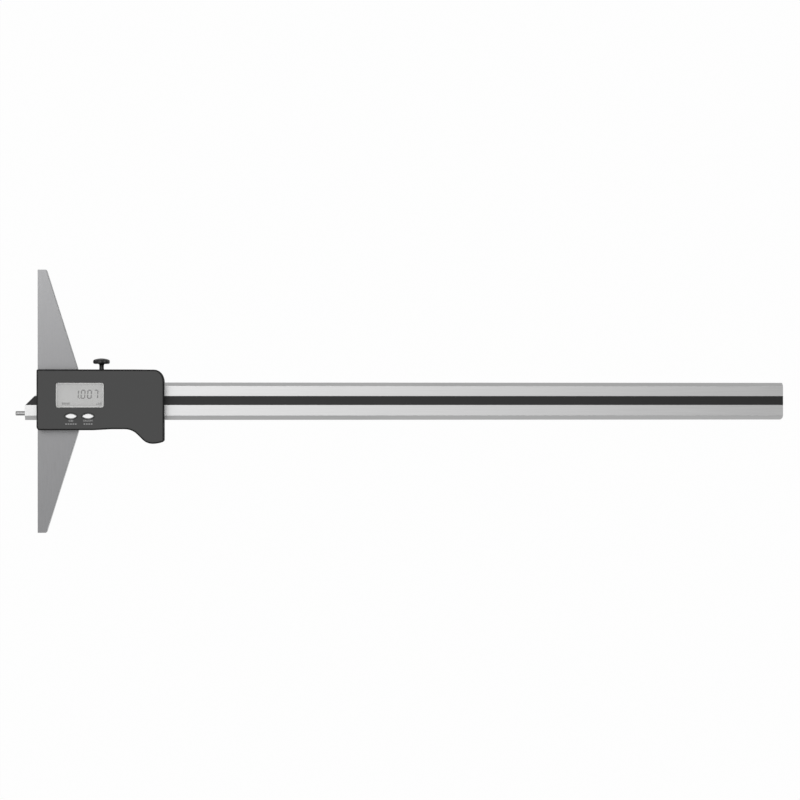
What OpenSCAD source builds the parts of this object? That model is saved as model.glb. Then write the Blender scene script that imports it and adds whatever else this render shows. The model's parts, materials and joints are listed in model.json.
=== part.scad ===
// Digital depth gauge. A long bevelled beam with a dark scale strip slides through a slider,
// which carries a long measuring base and a moulded display unit with a thumb rest.
// Lengths are in millimetres. X runs along the beam away from the measuring face, Y along the
// base and Z out of the display. The origin is on the measuring face, at the beam's centre.

/* [Beam] */
// Length of the beam without its pin
beam_length = 439.2; // [300:0.1:600]
// Width of the beam
beam_width = 21.5; // [19:0.1:24]
// Thickness of the beam
beam_thickness = 6; // [5:0.1:8]
// Width of the 45 degree bevels along the upper edge
upper_bevel = 2; // [1.2:0.1:2.3]
// Width of the 45 degree bevels along the lower edge
lower_bevel = 2.5; // [1.2:0.1:2.7]
// How far the nose stands out of the measuring face at the reading shown
nose_reach = 7.3; // [3:0.1:20]
// Height of the square part of the nose, under its 45 degree cut
nose_height = 8.25; // [6.5:0.05:11]
// Radius of the far end's lower corner
end_corner = 1.5; // [0.5:0.1:3]
// Width of the scale strip
strip_width = 5.1; // [3:0.1:8]
// Height of the strip's middle above the beam's centre line
strip_offset = 0.4; // [-1:0.1:1]
// Thickness of the strip, which lies flush in its groove
strip_thickness = 0.4; // [0.2:0.05:0.8]

/* [Measuring pin] */
// Diameter of the pin
pin_d = 2.6; // [1.5:0.1:3.6]
// How far the pin stands out of the nose
pin_reach = 5.4; // [3:0.1:15]
// Height of the pin's axis above the beam's lower edge
pin_height = 3.85; // [3.4:0.05:5]
// Depth of the pin's seat in the nose
pin_seat = 6; // [4:0.5:10]

/* [Base] */
// Length of the measuring face
base_length = 150; // [100:1:300]
// Depth of the base at its middle
base_depth = 24; // [22:0.5:26]
// Depth of the base at its ends
base_tip = 4.8; // [4:0.1:10]
// Length of the base's flat middle, between the slanted sides
base_shoulder = 27.6; // [20:0.1:30]
// Thickness of the web behind the beam
base_web = 2.4; // [2:0.1:4]
// Thickness of the wall behind the measuring face, beside the notch
face_wall = 3; // [2:0.1:4]
// Thread size of the screws through the base
base_screw_d = 2.5; // [2:0.1:3]
// Distance of these screws from the wall of the measuring face and from the base's back edge
base_screw_inset = 4; // [3.5:0.1:6]

/* [Guide] */
// Running gap between the beam and its guide
guide_fit = 0.05; // [0.02:0.01:0.1]
// Gap between the beam's front and the level that the circuit board lies on
deck_gap = 0.3; // [0.2:0.05:0.6]
// Width of the upper rail, outside the beam's edge
upper_rail = 4.8; // [4.4:0.1:6]
// Width of the lower rail, outside the beam's edge
lower_rail = 3.3; // [3:0.1:4.5]
// Thickness of the gib strip, outside the beam's edge
gib_thickness = 1.2; // [1:0.1:1.6]
// Height of the gib strip
gib_height = 4.8; // [4:0.1:5]
// Distance of the gib strip's ends from the base and from the end of the rails
gib_inset = 2; // [1.5:0.1:4]
// Thread size of the gib screws
gib_screw_d = 2.5; // [2:0.1:3]
// Travel of the beam inwards from the reading shown
travel_in = 15; // [5:0.5:15]
// Thread size of the stop screws on the beam's back
stop_screw_d = 2.5; // [2:0.1:2.8]
// Distance of the near stop screw from the tip of the nose
near_stop_inset = 10.3; // [9:0.1:12]
// Distance of the far stop screw from the beam's far end, which sets the travel outwards
far_stop_inset = 22.7; // [5:0.1:60]

/* [Display unit] */
// Where the display unit starts, behind the measuring face
case_left = 0.1; // [0:0.1:2]
// Length of the display unit
case_length = 71.8; // [70:0.1:80]
// Height of the display unit in front of the base
case_height = 10.7; // [9.8:0.1:13]
// Wall beside the upper rail
upper_wall = 2.35; // [1.8:0.05:3]
// Wall beside the lower rail
lower_wall = 1.7; // [1.4:0.1:2.4]
// Thickness of the moulded walls elsewhere
wall = 1.6; // [1.2:0.1:2]
// Radius along the front and back edges
edge_radius = 1.2; // [0.5:0.1:1.4]
// Radius of the upper corner beside the measuring face
upper_left_corner = 0.8; // [0.4:0.1:3]
// Radius of the lower corner beside the measuring face
lower_left_corner = 2; // [0.5:0.1:3]
// How much lower the underside is below the display than before the thumb rest
underside_rise = 0.55; // [0:0.05:1]
// Distance from the measuring face to the start and the end of this rise
rise_x = [32, 42];
// Length and height of the oval upper corner
oval_corner = [5.5, 7.1];
// Drop of the top edge towards the oval corner
crown = 0.1; // [0:0.05:0.6]

/* [Thumb rest] */
// How far the thumb rest hangs below the underside
rest_drop = 8.3; // [6:0.1:10]
// Where its hollow starts, measured back from the unit's end
rest_length = 22.2; // [21:0.1:24]
// Radius of the hollow at the start of the slope
rest_hollow = 10; // [6:0.1:12]
// Radius of the belly at the end of the slope
rest_belly = 8; // [6:0.1:9]
// Radius of the long curve under the tip
rest_underside = 17; // [12:0.5:30]
// Radius of the tip
rest_tip = 1.2; // [0.8:0.1:2]

/* [Display] */
// Width of the window
window_width = 27.1; // [22:0.1:28]
// Height of the window
window_height = 14; // [10:0.1:14.5]
// Distance from the measuring face to the window
window_left = 10.8; // [9:0.1:12]
// Height of the window's middle above the beam's centre line
window_middle = 3.45; // [2.5:0.05:4]
// Corner radius of the window
window_corner = 1.15; // [0.5:0.05:3]
// Depth of the window pane below the front face
pane_depth = 0.5; // [0.2:0.05:0.9]
// Thickness of the display glass
lcd_thickness = 2; // [1.4:0.1:2.4]
// Thickness of the circuit board
board_thickness = 1; // [0.8:0.1:1.6]

/* [Buttons] */
// Width of a button
button_width = 6.4; // [5:0.1:7.5]
// Height of a button
button_height = 2.85; // [2:0.05:3.4]
// Radius of the blunt tips at both ends of a button
button_tip = 0.5; // [0.3:0.05:0.8]
// Width of the shallow dish around a button
dish_width = 0.7; // [0.4:0.05:1]
// Depth of this dish
dish_depth = 0.35; // [0.1:0.05:0.6]
// Distance of each button from the measuring face
button_x = [19.5, 29.1];
// Distance of the buttons below the beam's centre line
button_drop = 8.5; // [8.3:0.1:9]
// How far a button stands out of the front face
button_stand = 0.5; // [0.2:0.05:1]
// Travel of a button
button_travel = 0.6; // [0.3:0.05:0.8]
// Gap around a button
button_gap = 0.12; // [0.08:0.01:0.2]

/* [Lock screw] */
// Distance of the lock screw behind the base
lock_inset = 12; // [10:0.5:16]
// Diameter of its stem
lock_stem = 2.4; // [2:0.1:2.8]
// Diameter of its head
lock_head_d = 9.5; // [7:0.1:12]
// Height of its domed head
lock_head_height = 3.1; // [2.5:0.1:5]
// Radius of the head's round rim
lock_rim = 1.1; // [0.6:0.1:1.2]
// Radius of the fillet between the stem and the head
lock_fillet = 0.6; // [0.2:0.1:1]
// Diameter of the shoulder on the stem, just outside the display unit
lock_shoulder_d = 3.2; // [2.9:0.1:4]
// Free length of stem between the display unit and the head
lock_neck = 3.4; // [1.5:0.1:6]
// Number of finger hollows around the head
lock_hollows = 5; // [3:1:9]
// Gap between the pad and the beam at the position shown
lock_gap = 0.15; // [0.13:0.01:0.5]
// Diameter of the brass pad
pad_d = 3; // [2.6:0.1:3.4]

/* [Battery] */
// Diameter of the coin cell
cell_d = 20; // [16:0.5:20.5]
// Height of the coin cell
cell_height = 3.2; // [2:0.1:3.6]
// Width of the tray's ring around the cell
tray_ring = 0.9; // [0.8:0.1:1.4]
// Gap around the battery tray
tray_gap = 0.15; // [0.1:0.01:0.3]

/* [Case screws] */
// Thread size of the screws that hold the display unit together
case_screw_d = 2; // [1.6:0.1:2.2]
// How far the case screws reach in front of the base
case_screw_reach = 5.5; // [4:0.1:7]
// Distance between a screw of the circuit board and the case screw beside it
screw_spacing = 6.5; // [6:0.1:8]

/* [Hidden] */
$fn = 48;

// Widths across the beam
beam_half = beam_width / 2;
rail_top = beam_half + guide_fit + upper_rail;
rail_bottom = -(beam_half + guide_fit + lower_rail);
notch_half = beam_half + 0.3;
seat = 0.1;                                  // gap around a piece in its seat
case_top = rail_top + seat + upper_wall;
case_waist = rail_bottom - seat - lower_wall;
case_bottom = case_waist - underside_rise;
// Levels through the thickness
deck = beam_thickness / 2 + deck_gap;
web_front = -deck;
back = web_front - base_web;
floor_thickness = 1.5;
floor_front = back + floor_thickness;
front = deck + case_height;
inner_front = front - floor_thickness;
// Places along the beam
beam_start = -nose_reach;
beam_end = beam_start + beam_length;
case_right = case_left + case_length;
end_wall = 2.2;
frame_end = case_right - end_wall;
web_lip = 3;                                 // thin end of the frame's web, over the cover's floor
rest_x = case_right - rest_length;
// The thumb rest's slope lies at 45 degrees between the hollow and the belly
rest_low = case_waist - rest_drop;
slope_run = (rest_drop - (rest_hollow + rest_belly) * (1 - cos(45))) / tan(45);
rest_low_x = rest_x + (rest_hollow + rest_belly) * sin(45) + slope_run;
// Screws
lock_x = base_depth + lock_inset;
base_screw_x = [face_wall + base_screw_inset, base_depth - base_screw_inset];
base_screw_y = [rail_top - 2.4, -(rail_top - 2.4)];
upper_screw_y = beam_half + gib_thickness + (rail_top - beam_half - gib_thickness) / 2;
lower_screw_y = rail_bottom + lower_rail / 2;
left_screw_x = (base_screw_x[0] + base_screw_x[1]) / 2;
board_screw_lower = [lock_x, lower_screw_y];
board_screw_upper = [window_left + window_width + 5.7, upper_screw_y];
upper_screw_x = [board_screw_upper[0] + screw_spacing, frame_end - 3.2];
lower_screw_x = board_screw_lower[0] + screw_spacing;
rest_screw = [rest_low_x - 1, case_waist - rest_drop / 3];
case_screw_places = [[left_screw_x, upper_screw_y + 0.4], [left_screw_x, lower_screw_y - 1],
    [upper_screw_x[0], upper_screw_y], [upper_screw_x[1], upper_screw_y],
    [lower_screw_x, lower_screw_y], rest_screw];
boss_d = case_screw_d + 1.6;
screw_head = 1.8;                            // head diameter over thread size
// Gib and lock
gib_back = beam_half + gib_thickness;
gib_start = base_depth + gib_inset;
gib_end = frame_end - gib_inset;
gib_screw_x = [gib_start + 4, (upper_screw_x[0] + upper_screw_x[1]) / 2];
pad_start = beam_half + lock_gap;
pad_end = pad_start + 2;
lock_play = 0.6;                             // room above the pad for turning the screw back
head_start = case_top + lock_neck;
// Stop screws on the beam's back
stop_head_d = stop_screw_d * screw_head;
stop_head_height = 0.4 * stop_screw_d;
stop_y = -beam_half / 2;
near_stop_x = beam_start + near_stop_inset;
stop_slack = 0.25;
stop_groove_end = near_stop_x + travel_in + stop_head_d / 2 + stop_slack;
far_stop_x = beam_end - far_stop_inset;
stop_groove_half = stop_head_d / 2 + 0.4;
// Display stack, from the front wall down to the circuit board
board_front = deck + board_thickness;
pane_front = front - pane_depth;
flange = 0.9;                                // rim of the pane behind the front wall
flange_thickness = 0.7;
pane_back = inner_front - flange_thickness;
lcd_front = pane_back - 0.2;
lcd_back = lcd_front - lcd_thickness;
window_x = [window_left, window_left + window_width];
window_y = [window_middle - window_height / 2, window_middle + window_height / 2];
window_centre = window_left + window_width / 2;
lcd_margin = 1.2;
holder_wall = 1.1;
zebra_width = 1.8;
// Circuit board
board_x = [case_left + wall + 4.4, frame_end - 0.5];
board_half = beam_half - 0.25;
lug = 4;
chip_size = 7;
chip_height = 1;
crystal_d = 1.6;
crystal_length = 4;
button_lift = button_travel + 0.02;          // height of a button's stem over its dome
dome_height = 0.2;
// Battery tray
tray_half = cell_d / 2 + tray_ring;
cell_x = case_right - wall - tray_half;
tray_x = [cell_x - tray_half, case_right - wall];
tray_bottom = board_front + 0.7;
tray_floor = 0.5;
tray_top = tray_bottom + tray_floor + cell_height + 0.5;
tray_cap_half = tray_half + 0.4;
slot_z = [tray_bottom - 0.3, tray_top + 0.7];
guide_wall = 1;

// Points along an arc, from one angle to another in equal steps
function arc(centre, r, from, to, steps) =
    [for (i = [0:steps]) let (a = from + (to - from) * i / steps) centre + r * [cos(a), sin(a)]];

// Points of the quarter oval at the display unit's upper right corner, drawn in by d
function oval_arc(d, steps) =
    [for (i = [0:steps]) let (a = 90 * i / steps)
        [case_right - oval_corner[0] + (oval_corner[0] - d) * cos(a),
         case_top - crown - oval_corner[1] + (oval_corner[1] - d) * sin(a)]];

// Outline of the display unit with its thumb rest, drawn in by d, counterclockwise
function case_outline(d) =
    let (x0 = case_left + d,
         p = max(upper_left_corner - d, 0.3),
         q = max(lower_left_corner - d, 0.3),
         t = max(rest_tip - d, 0.3),
         r = rest_underside - d,
         a = asin((case_right - d - t - rest_low_x) / (r - t)))
    concat(
        arc([x0 + p, case_top - d - p], p, 90, 180, 4),
        arc([x0 + q, case_bottom + d + q], q, 180, 270, 4),
        [[rise_x[0], case_bottom + d], [rise_x[1], case_waist + d]],
        arc([rest_x, case_waist - rest_hollow], rest_hollow + d, 90, 45, 5),
        arc([rest_low_x, rest_low + rest_belly], rest_belly - d, 225, 270, 6),
        arc([rest_low_x, rest_low + rest_underside], r, 270 + a / 3, 270 + a, 2),
        arc([case_right - d - t, rest_low + rest_underside - (r - t) * cos(a)], t, 270 + a, 360, 4),
        oval_arc(d, 8),
        [[case_right - 3 * oval_corner[0], case_top - d]]);

// Outline of a button, grown by g: two wide arcs that meet in blunt round tips
function button_outline(g) =
    let (a = button_width / 2,
         b = button_height / 2,
         tip = [a - button_tip, 0],
         r = (a * a - 2 * a * button_tip + b * b) / (2 * (b - button_tip)),
         turn = atan2(tip[0], r - b))
    concat(
        arc(tip, button_tip + g, turn - 90, 90 - turn, 4),
        arc([0, b - r], r + g, 90 - turn * 3 / 4, 90 + turn * 3 / 4, 6),
        arc(-tip, button_tip + g, 90 + turn, 270 - turn, 4),
        arc([0, r - b], r + g, 270 - turn * 3 / 4, 270 + turn * 3 / 4, 6));

// Cross-section of the beam, grown by g on every side: bevelled along all four long edges
function beam_section(g) =
    let (t = beam_thickness / 2 + g, w = beam_half + g, k = g * (sqrt(2) - 1))
    [[w - g - upper_bevel + k, t], [w, t - g - upper_bevel + k],
     [w, -(t - g - upper_bevel + k)], [w - g - upper_bevel + k, -t],
     [-(w - g - lower_bevel + k), -t], [-w, -(t - g - lower_bevel + k)],
     [-w, t - g - lower_bevel + k], [-(w - g - lower_bevel + k), t]];

// A box between the limits given for each direction
module block(x, y, z)
    translate([x[0], y[0], z[0]])
        cube([x[1] - x[0], y[1] - y[0], z[1] - z[0]]);

// A flat drawing in Y and Z, drawn out along X
module along_x(x0, x1)
    translate([x0, 0, 0]) rotate([90, 0, 90]) linear_extrude(x1 - x0) children();

// A flat drawing in X and Y, drawn up from one level to another
module along_z(z0, z1)
    translate([0, 0, z0]) linear_extrude(z1 - z0) children();

// A round post along Z
module post(place, z0, z1, d)
    translate([place[0], place[1], z0]) cylinder(h = z1 - z0, d = d);

// A round rod along Y at a distance x from the measuring face
module rod_y(x, y0, y1, d)
    along_y(x, y0) cylinder(h = y1 - y0, d = d);

// What is drawn along Z, laid along Y at a distance x from the measuring face, from y0 outwards
module along_y(x, y0)
    translate([x, y0, 0]) rotate([-90, 0, 0]) children();

// A rectangle with round corners
module rounded(x, y, r) {
    translate([x[0] + r, y[0]]) square([x[1] - x[0] - 2 * r, y[1] - y[0]]);
    translate([x[0], y[0] + r]) square([x[1] - x[0], y[1] - y[0] - 2 * r]);
    for (cx = [x[0] + r, x[1] - r], cy = [y[0] + r, y[1] - r])
        translate([cx, cy]) circle(r);
}

// A screw from the back towards the front, with a flat countersunk head at the level z
module flat_screw(place, z, length, d) {
    head = d * screw_head;
    translate([place[0], place[1], z]) {
        cylinder(h = (head - d) / 2, d1 = head, d2 = d);
        cylinder(h = length, d = d);
    }
}

// The hole for a countersunk screw
module flat_screw_hole(place, z, length, d) {
    head = d * screw_head + 0.2;
    translate([place[0], place[1], z]) {
        translate([0, 0, -0.1]) cylinder(h = 0.1 + (head - d) / 2, d1 = head + 0.2, d2 = d);
        cylinder(h = length, d = d + 0.1);
    }
}

// Rings through which a skin is stretched, all with equally many points
module loft(rings) {
    n = len(rings[0]);
    last = len(rings) - 1;
    sides = [for (i = [0:last - 1], j = [0:n - 1])
        [i * n + j, (i + 1) * n + j, (i + 1) * n + (j + 1) % n, i * n + (j + 1) % n]];
    foot = [for (j = [0:n - 1]) j];
    top = [for (j = [n - 1:-1:0]) last * n + j];
    polyhedron([for (ring = rings) each ring], concat(sides, [foot, top]));
}

// One ring of the display unit's skin, at a level and an angle round its edge
function case_ring(angle, z) =
    [for (p = case_outline(edge_radius * (1 - cos(angle)))) [p[0], p[1], z]];

// The space between two levels, wider than the display unit
module layer(z0, z1)
    block([case_left - 1, case_right + 1], [rest_low - 1, case_top + 1], [z0, z1]);

// The display unit's skin in front of the base, with a round front edge
module front_skin() intersection() {
    loft(concat([case_ring(0, deck - 1)],
        [for (a = [0:22.5:90]) case_ring(a, front - edge_radius * (1 - sin(a)))],
        [case_ring(90, front + 1)]));
    layer(deck, front);
}

// The display unit's skin around the frame, with a round back edge
module back_skin() intersection() {
    loft(concat([case_ring(90, back - 1)],
        [for (a = [90:-22.5:0]) case_ring(a, back + edge_radius * (1 - sin(a)))],
        [case_ring(0, deck + 1)]));
    layer(back, deck);
}

// Measuring base: a ground bar with slanted back sides, notched for the beam and hollowed for the frame
module base() color("slategray") difference() {
    along_z(back, deck)
        polygon([[0, -base_length / 2], [base_tip, -base_length / 2],
            [base_depth, -base_shoulder / 2], [base_depth, base_shoulder / 2],
            [base_tip, base_length / 2], [0, base_length / 2]]);
    block([-1, base_depth + 1], [-notch_half, notch_half], [web_front, deck + 1]);
    block([face_wall, base_depth + 1], [-rail_top, rail_top], [web_front, deck + 1]);
    block([-1, stop_groove_end], [stop_y - stop_groove_half, stop_y + stop_groove_half],
        [-beam_thickness / 2 - stop_head_height - 0.3, deck]);
    for (x = base_screw_x, y = base_screw_y)
        flat_screw_hole([x, y], back, base_web + 1, base_screw_d);
    for (p = [case_screw_places[0], case_screw_places[1]])
        flat_screw_hole(p, back, base_web + 1, case_screw_d);
}

// Slider frame: two grooved rails that trap the beam's bevelled edges, joined by a web behind it
module slider_frame() color("gainsboro") difference() {
    union() {
        block([face_wall, base_depth + 1], [-rail_top, rail_top], [web_front, deck]);
        intersection() {
            union() {
                block([base_depth, frame_end], [rail_bottom, rail_top], [floor_front, deck]);
                block([base_depth, frame_end - web_lip], [-board_half + 1, board_half - 1],
                    [back, deck]);
            }
            along_z(back - 1, deck + 1) polygon(case_outline(1));
        }
    }
    along_x(face_wall - 1, frame_end + 1) polygon(beam_section(guide_fit));
    block([face_wall - 1, frame_end + 1], [-(beam_half - lower_bevel), beam_half - upper_bevel],
        [0, deck + 1]);
    block([face_wall - 1, base_depth], [-(beam_half - lower_bevel), beam_half - upper_bevel],
        [web_front - 1, 0]);
    block([base_depth, base_depth + 1.5], [-(rail_top + 1), rail_bottom], [back, deck + 1]);
    // slot for the gib, with the rail's own groove relieved along it
    block([gib_start - seat, gib_end + seat], [0, gib_back + seat],
        [-gib_height / 2, gib_height / 2]);
    along_x(gib_start - seat, gib_end + seat)
        intersection() {
            polygon(beam_section(0.3));
            translate([0, -beam_thickness]) square([beam_width, 2 * beam_thickness]);
        }
    for (x = gib_screw_x) rod_y(x, gib_back, rail_top + 1, gib_screw_d);
    rod_y(lock_x, gib_back - 1, pad_end + lock_play, pad_d + 0.1);
    rod_y(lock_x, gib_back, rail_top + 1, lock_stem + 0.05);
    for (p = [board_screw_lower, board_screw_upper]) post(p, 0, deck + 1, 1.7);
    for (x = base_screw_x, y = base_screw_y) post([x, y], web_front - 1, 1, base_screw_d);
    for (p = case_screw_places) post(p, back - 1, deck + 1, case_screw_d + 0.2);
}

// Countersunk screws that hold the frame in the base, entered from the back
module base_screws() color("dimgray")
    for (x = base_screw_x, y = base_screw_y)
        flat_screw([x, y], back + 0.1, base_web + 3.5, base_screw_d - 0.1);

// Brass gib strip, grooved for the beam's upper edge and nudged by its two screws
module gib() color("goldenrod") difference() {
    along_x(gib_start, gib_end)
        difference() {
            translate([beam_half - upper_bevel, -gib_height / 2])
                square([gib_back - beam_half + upper_bevel, gib_height]);
            polygon(beam_section(guide_fit));
        }
    rod_y(lock_x, 0, gib_back + 1, pad_d + 0.2);
    for (x = gib_screw_x) rod_y(x, gib_back - 0.6, gib_back + 1, 1.5);
}

// Headless screws with a dog point, which press the gib against the beam
module gib_screws() color("dimgray")
    for (x = gib_screw_x) difference() {
        union() {
            rod_y(x, gib_back + seat, rail_top - 0.3, gib_screw_d - 0.05);
            rod_y(x, gib_back - 0.6, gib_back + 1, 1.4);
        }
        rod_y(x, rail_top - 1.2, rail_top, 1.3, $fn = 6);
    }

// Front shell of the display unit: window, button holes, battery slot, screw bosses and tray guides
module housing() color("#4b4b4b") difference() {
    front_skin();
    difference() {
        along_z(deck - 1, inner_front) polygon(case_outline(wall));
        for (p = case_screw_places) post(p, deck, inner_front + 0.5, boss_d);
        tray_guides();
    }
    along_z(inner_front - 1, front + 1) rounded(window_x, window_y, window_corner);
    for (x = button_x) translate([x, -button_drop, 0]) {
        along_z(inner_front - 1, front + 1) polygon(button_outline(button_gap));
        along_z(front - dish_depth, front + 1) polygon(button_outline(dish_width));
    }
    block([case_right - wall - 1, case_right + 1],
        [-tray_cap_half - tray_gap, tray_cap_half + tray_gap], slot_z);
    for (p = case_screw_places)
        post(p, deck - 1, deck + case_screw_reach + 0.6, case_screw_d);
}

// Two channels inside the front shell that hold the battery tray's edges
module tray_guides()
    for (side = [0, 1]) mirror([0, side, 0]) difference() {
        block([tray_x[0] + 3, case_right], [tray_half - 1, tray_half + tray_gap + guide_wall],
            [tray_bottom - tray_gap - 0.45, inner_front + 0.5]);
        block([tray_x[0] + 2, case_right + 1], [-tray_half - tray_gap, tray_half + tray_gap],
            [tray_bottom - tray_gap, tray_top + tray_gap]);
    }

// Rear shell: walls around the rails, a floor around the frame's web, and the thumb rest's other half
module rear_cover() color("#444444") difference() {
    back_skin();
    block([case_left - 1, base_depth + 0.3], [rest_low - 1, case_top + 1], [back - 1, deck + 1]);
    // room for the frame, the beam and the far stop screw's way in
    along_z(floor_front, deck + 1) intersection() {
        translate([base_depth, rail_bottom - seat])
            square([frame_end + seat - base_depth, rail_top - rail_bottom + 2 * seat]);
        polygon(case_outline(0.9));
    }
    block([base_depth, frame_end - web_lip + seat], [-board_half + 0.9, board_half - 0.9],
        [back - 1, deck]);
    along_x(frame_end, case_right + 1) polygon(beam_section(0.4));
    block([frame_end, case_right + 1], [-(beam_half - lower_bevel), beam_half - upper_bevel],
        [0, deck + 1]);
    block([frame_end, case_right + 1], [stop_y - stop_groove_half, stop_y + stop_groove_half],
        [floor_front, deck]);
    // hollow of the thumb rest
    difference() {
        along_z(floor_front, deck + 1) intersection() {
            polygon(case_outline(wall));
            translate([rest_x, rest_low]) square([case_length, rest_drop - 0.4]);
        }
        post(rest_screw, back, deck + 1, boss_d + 1);
    }
    rod_y(lock_x, rail_top - 1, case_top + 1, lock_stem + 1);
    for (p = case_screw_places) flat_screw_hole(p, back, beam_width, case_screw_d);
}

// Long countersunk screws through the back and the rails into the front shell's bosses
module case_screws() color("dimgray")
    for (p = case_screw_places)
        flat_screw(p, back + 0.1, deck + case_screw_reach - back, case_screw_d - 0.1);

// Clear pane with a rim behind the front wall
module window_pane() color("lightcyan", 0.5) {
    g = 0.08;
    along_z(inner_front, pane_front)
        rounded([window_x[0] + g, window_x[1] - g], [window_y[0] + g, window_y[1] - g],
            window_corner - g);
    along_z(pane_back, inner_front)
        rounded([window_x[0] - flange, window_x[1] + flange],
            [window_y[0] - flange, window_y[1] + flange], window_corner);
}

// Display glass under the pane, with its lower sheet standing out for the contacts
module lcd_panel() color("darkseagreen") {
    m = lcd_margin;
    half = lcd_thickness / 2;
    block([window_x[0] - m, window_x[1] + m], [window_y[0] - m + 0.8, window_y[1] + m - 0.8],
        [lcd_back, lcd_back + half]);
    block([window_x[0] - m, window_x[1] + m], [window_y[0] - m, window_y[1] + m],
        [lcd_back + half, lcd_front]);
}

// Frame on the circuit board that holds the display glass and the contact strips
module lcd_holder() color("whitesmoke") {
    m = lcd_margin;
    difference() {
        block([window_x[0] - m - holder_wall, window_x[1] + m + holder_wall],
            [window_y[0] - m - holder_wall, window_y[1] + m + holder_wall],
            [board_front, pane_back]);
        block([window_x[0] - m - seat, window_x[1] + m + seat],
            [window_y[0] - m - seat, window_y[1] + m + seat], [lcd_back, pane_back + 1]);
        block([window_x[0], window_x[1]], [window_y[0] - m, window_y[1] + m],
            [board_front - 1, lcd_back + 1]);
        for (p = case_screw_places) post(p, deck, front, boss_d + 0.4);
    }
}

// Rubber contact strips between the circuit board and the display glass
module zebra_strips() color("pink") {
    upper_edge = min(window_y[1] + lcd_margin, board_half);
    for (y = [window_y[0] - lcd_margin, upper_edge - zebra_width])
        block([window_x[0] + 0.4, window_x[1] - 0.4], [y, y + zebra_width],
            [board_front, lcd_back]);
}

// Circuit board on the rails, with a lug for each of its screws
module circuit_board() color("darkgreen") difference() {
    along_z(deck, board_front) {
        translate([board_x[0], -board_half]) square([board_x[1] - board_x[0], 2 * board_half]);
        translate([board_screw_lower[0] - lug / 2, rail_bottom]) square([lug, -rail_bottom]);
        translate([board_screw_upper[0] - lug / 2, 0]) square([lug, rail_top - 0.4]);
    }
    for (p = [board_screw_lower, board_screw_upper]) post(p, deck - 1, board_front + 1, 1.9);
    for (p = case_screw_places) post(p, deck - 1, front, boss_d + 0.4);
}

// Pan-head screws that hold the circuit board
module board_screws() color("silver")
    for (p = [board_screw_lower, board_screw_upper]) {
        post(p, 0.3, board_front + 0.5, 1.6);
        post(p, board_front, board_front + 0.9, 3.2);
    }

// Measuring circuit: a square package under the display glass
module microchip() color("#222222")
    translate([window_centre - chip_size / 2, window_middle - chip_size / 2, board_front])
        cube([chip_size, chip_size, chip_height]);

// Clock crystal: a small can that lies on the board beside the package
module crystal() color("silver")
    translate([window_centre + chip_size / 2 + 1, window_middle, board_front + crystal_d / 2 - 0.1])
        intersection() {
            rotate([0, 90, 0]) cylinder(h = crystal_length, d = crystal_d);
            translate([0, -crystal_d, 0.1 - crystal_d / 2])
                cube([crystal_length, 2 * crystal_d, 2 * crystal_d]);
        }

// Snap domes under the buttons
module button_domes() color("silver")
    for (x = button_x)
        translate([x, -button_drop, board_front])
            cylinder(h = dome_height, d1 = 3.8, d2 = 3);

// Spring contacts: a low tongue under the cell and an arm over the tray
module battery_contacts() color("gold") {
    sheet = 0.3;
    arm_x = tray_x[0] - 2 * sheet;
    arm_z = tray_top + tray_gap;
    block([cell_x - 5, cell_x + 6], [-2, 2], [board_front, board_front + sheet]);
    block([cell_x - 2, cell_x + 4], [-1.2, 1.2],
        [board_front + sheet, tray_bottom - tray_gap]);
    block([arm_x, arm_x + sheet], [-3, 3], [board_front, arm_z + sheet]);
    block([arm_x, tray_x[0] + 8], [-3, 3], [arm_z, arm_z + sheet]);
}

// Beam: a flat bar with four bevelled edges, cut slantwise to a nose that carries the pin
module beam() color("silver") difference() {
    intersection() {
        along_x(beam_start, beam_end) polygon(beam_section(0));
        along_z(-beam_thickness, beam_thickness)
            polygon(concat(
                [[beam_start, -beam_half + nose_height], [beam_start, -beam_half]],
                arc([beam_end - end_corner, -beam_half + end_corner], end_corner, 270, 360, 6),
                arc([beam_end - 0.6, beam_half - 0.6], 0.6, 0, 90, 3),
                [[beam_start + beam_width - nose_height, beam_half]]));
    }
    strip_groove();
    translate([beam_start - 1, pin_height - beam_half, 0])
        rotate([0, 90, 0]) cylinder(h = pin_seat + 1, d = pin_d);
    for (x = [near_stop_x, far_stop_x])
        post([x, stop_y], -beam_thickness / 2 - 1, -0.5, stop_screw_d);
}

// Room for the scale strip in the beam's front
module strip_groove()
    block([beam_start - 1, beam_end + 1],
        [strip_offset - strip_width / 2, strip_offset + strip_width / 2],
        [beam_thickness / 2 - strip_thickness, beam_thickness]);

// Scale strip, laid in its groove and cut off along the nose's slant
module scale_strip() color("#3d3d3d") {
    low = strip_offset - strip_width / 2;
    high = strip_offset + strip_width / 2;
    cut = beam_start + beam_half - nose_height;
    along_z(beam_thickness / 2 - strip_thickness, beam_thickness / 2)
        polygon([[cut + low, low], [beam_end, low], [beam_end, high], [cut + high, high]]);
}

// Measuring pin, pressed into the nose
module measuring_pin() color("lightgray")
    translate([beam_start + pin_seat, pin_height - beam_half, 0]) rotate([0, -90, 0]) {
        cylinder(h = pin_seat + pin_reach - 0.3, d = pin_d);
        translate([0, 0, pin_seat + pin_reach - 0.3])
            cylinder(h = 0.3, d1 = pin_d, d2 = pin_d - 0.6);
    }

// Pan-head stop screws at both ends of the beam's back
module stop_screws() color("dimgray")
    for (x = [near_stop_x, far_stop_x]) {
        z = -beam_thickness / 2;
        post([x, stop_y], z - stop_head_height, -0.8, stop_screw_d);
        post([x, stop_y], z - stop_head_height, z, stop_head_d);
    }

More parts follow.
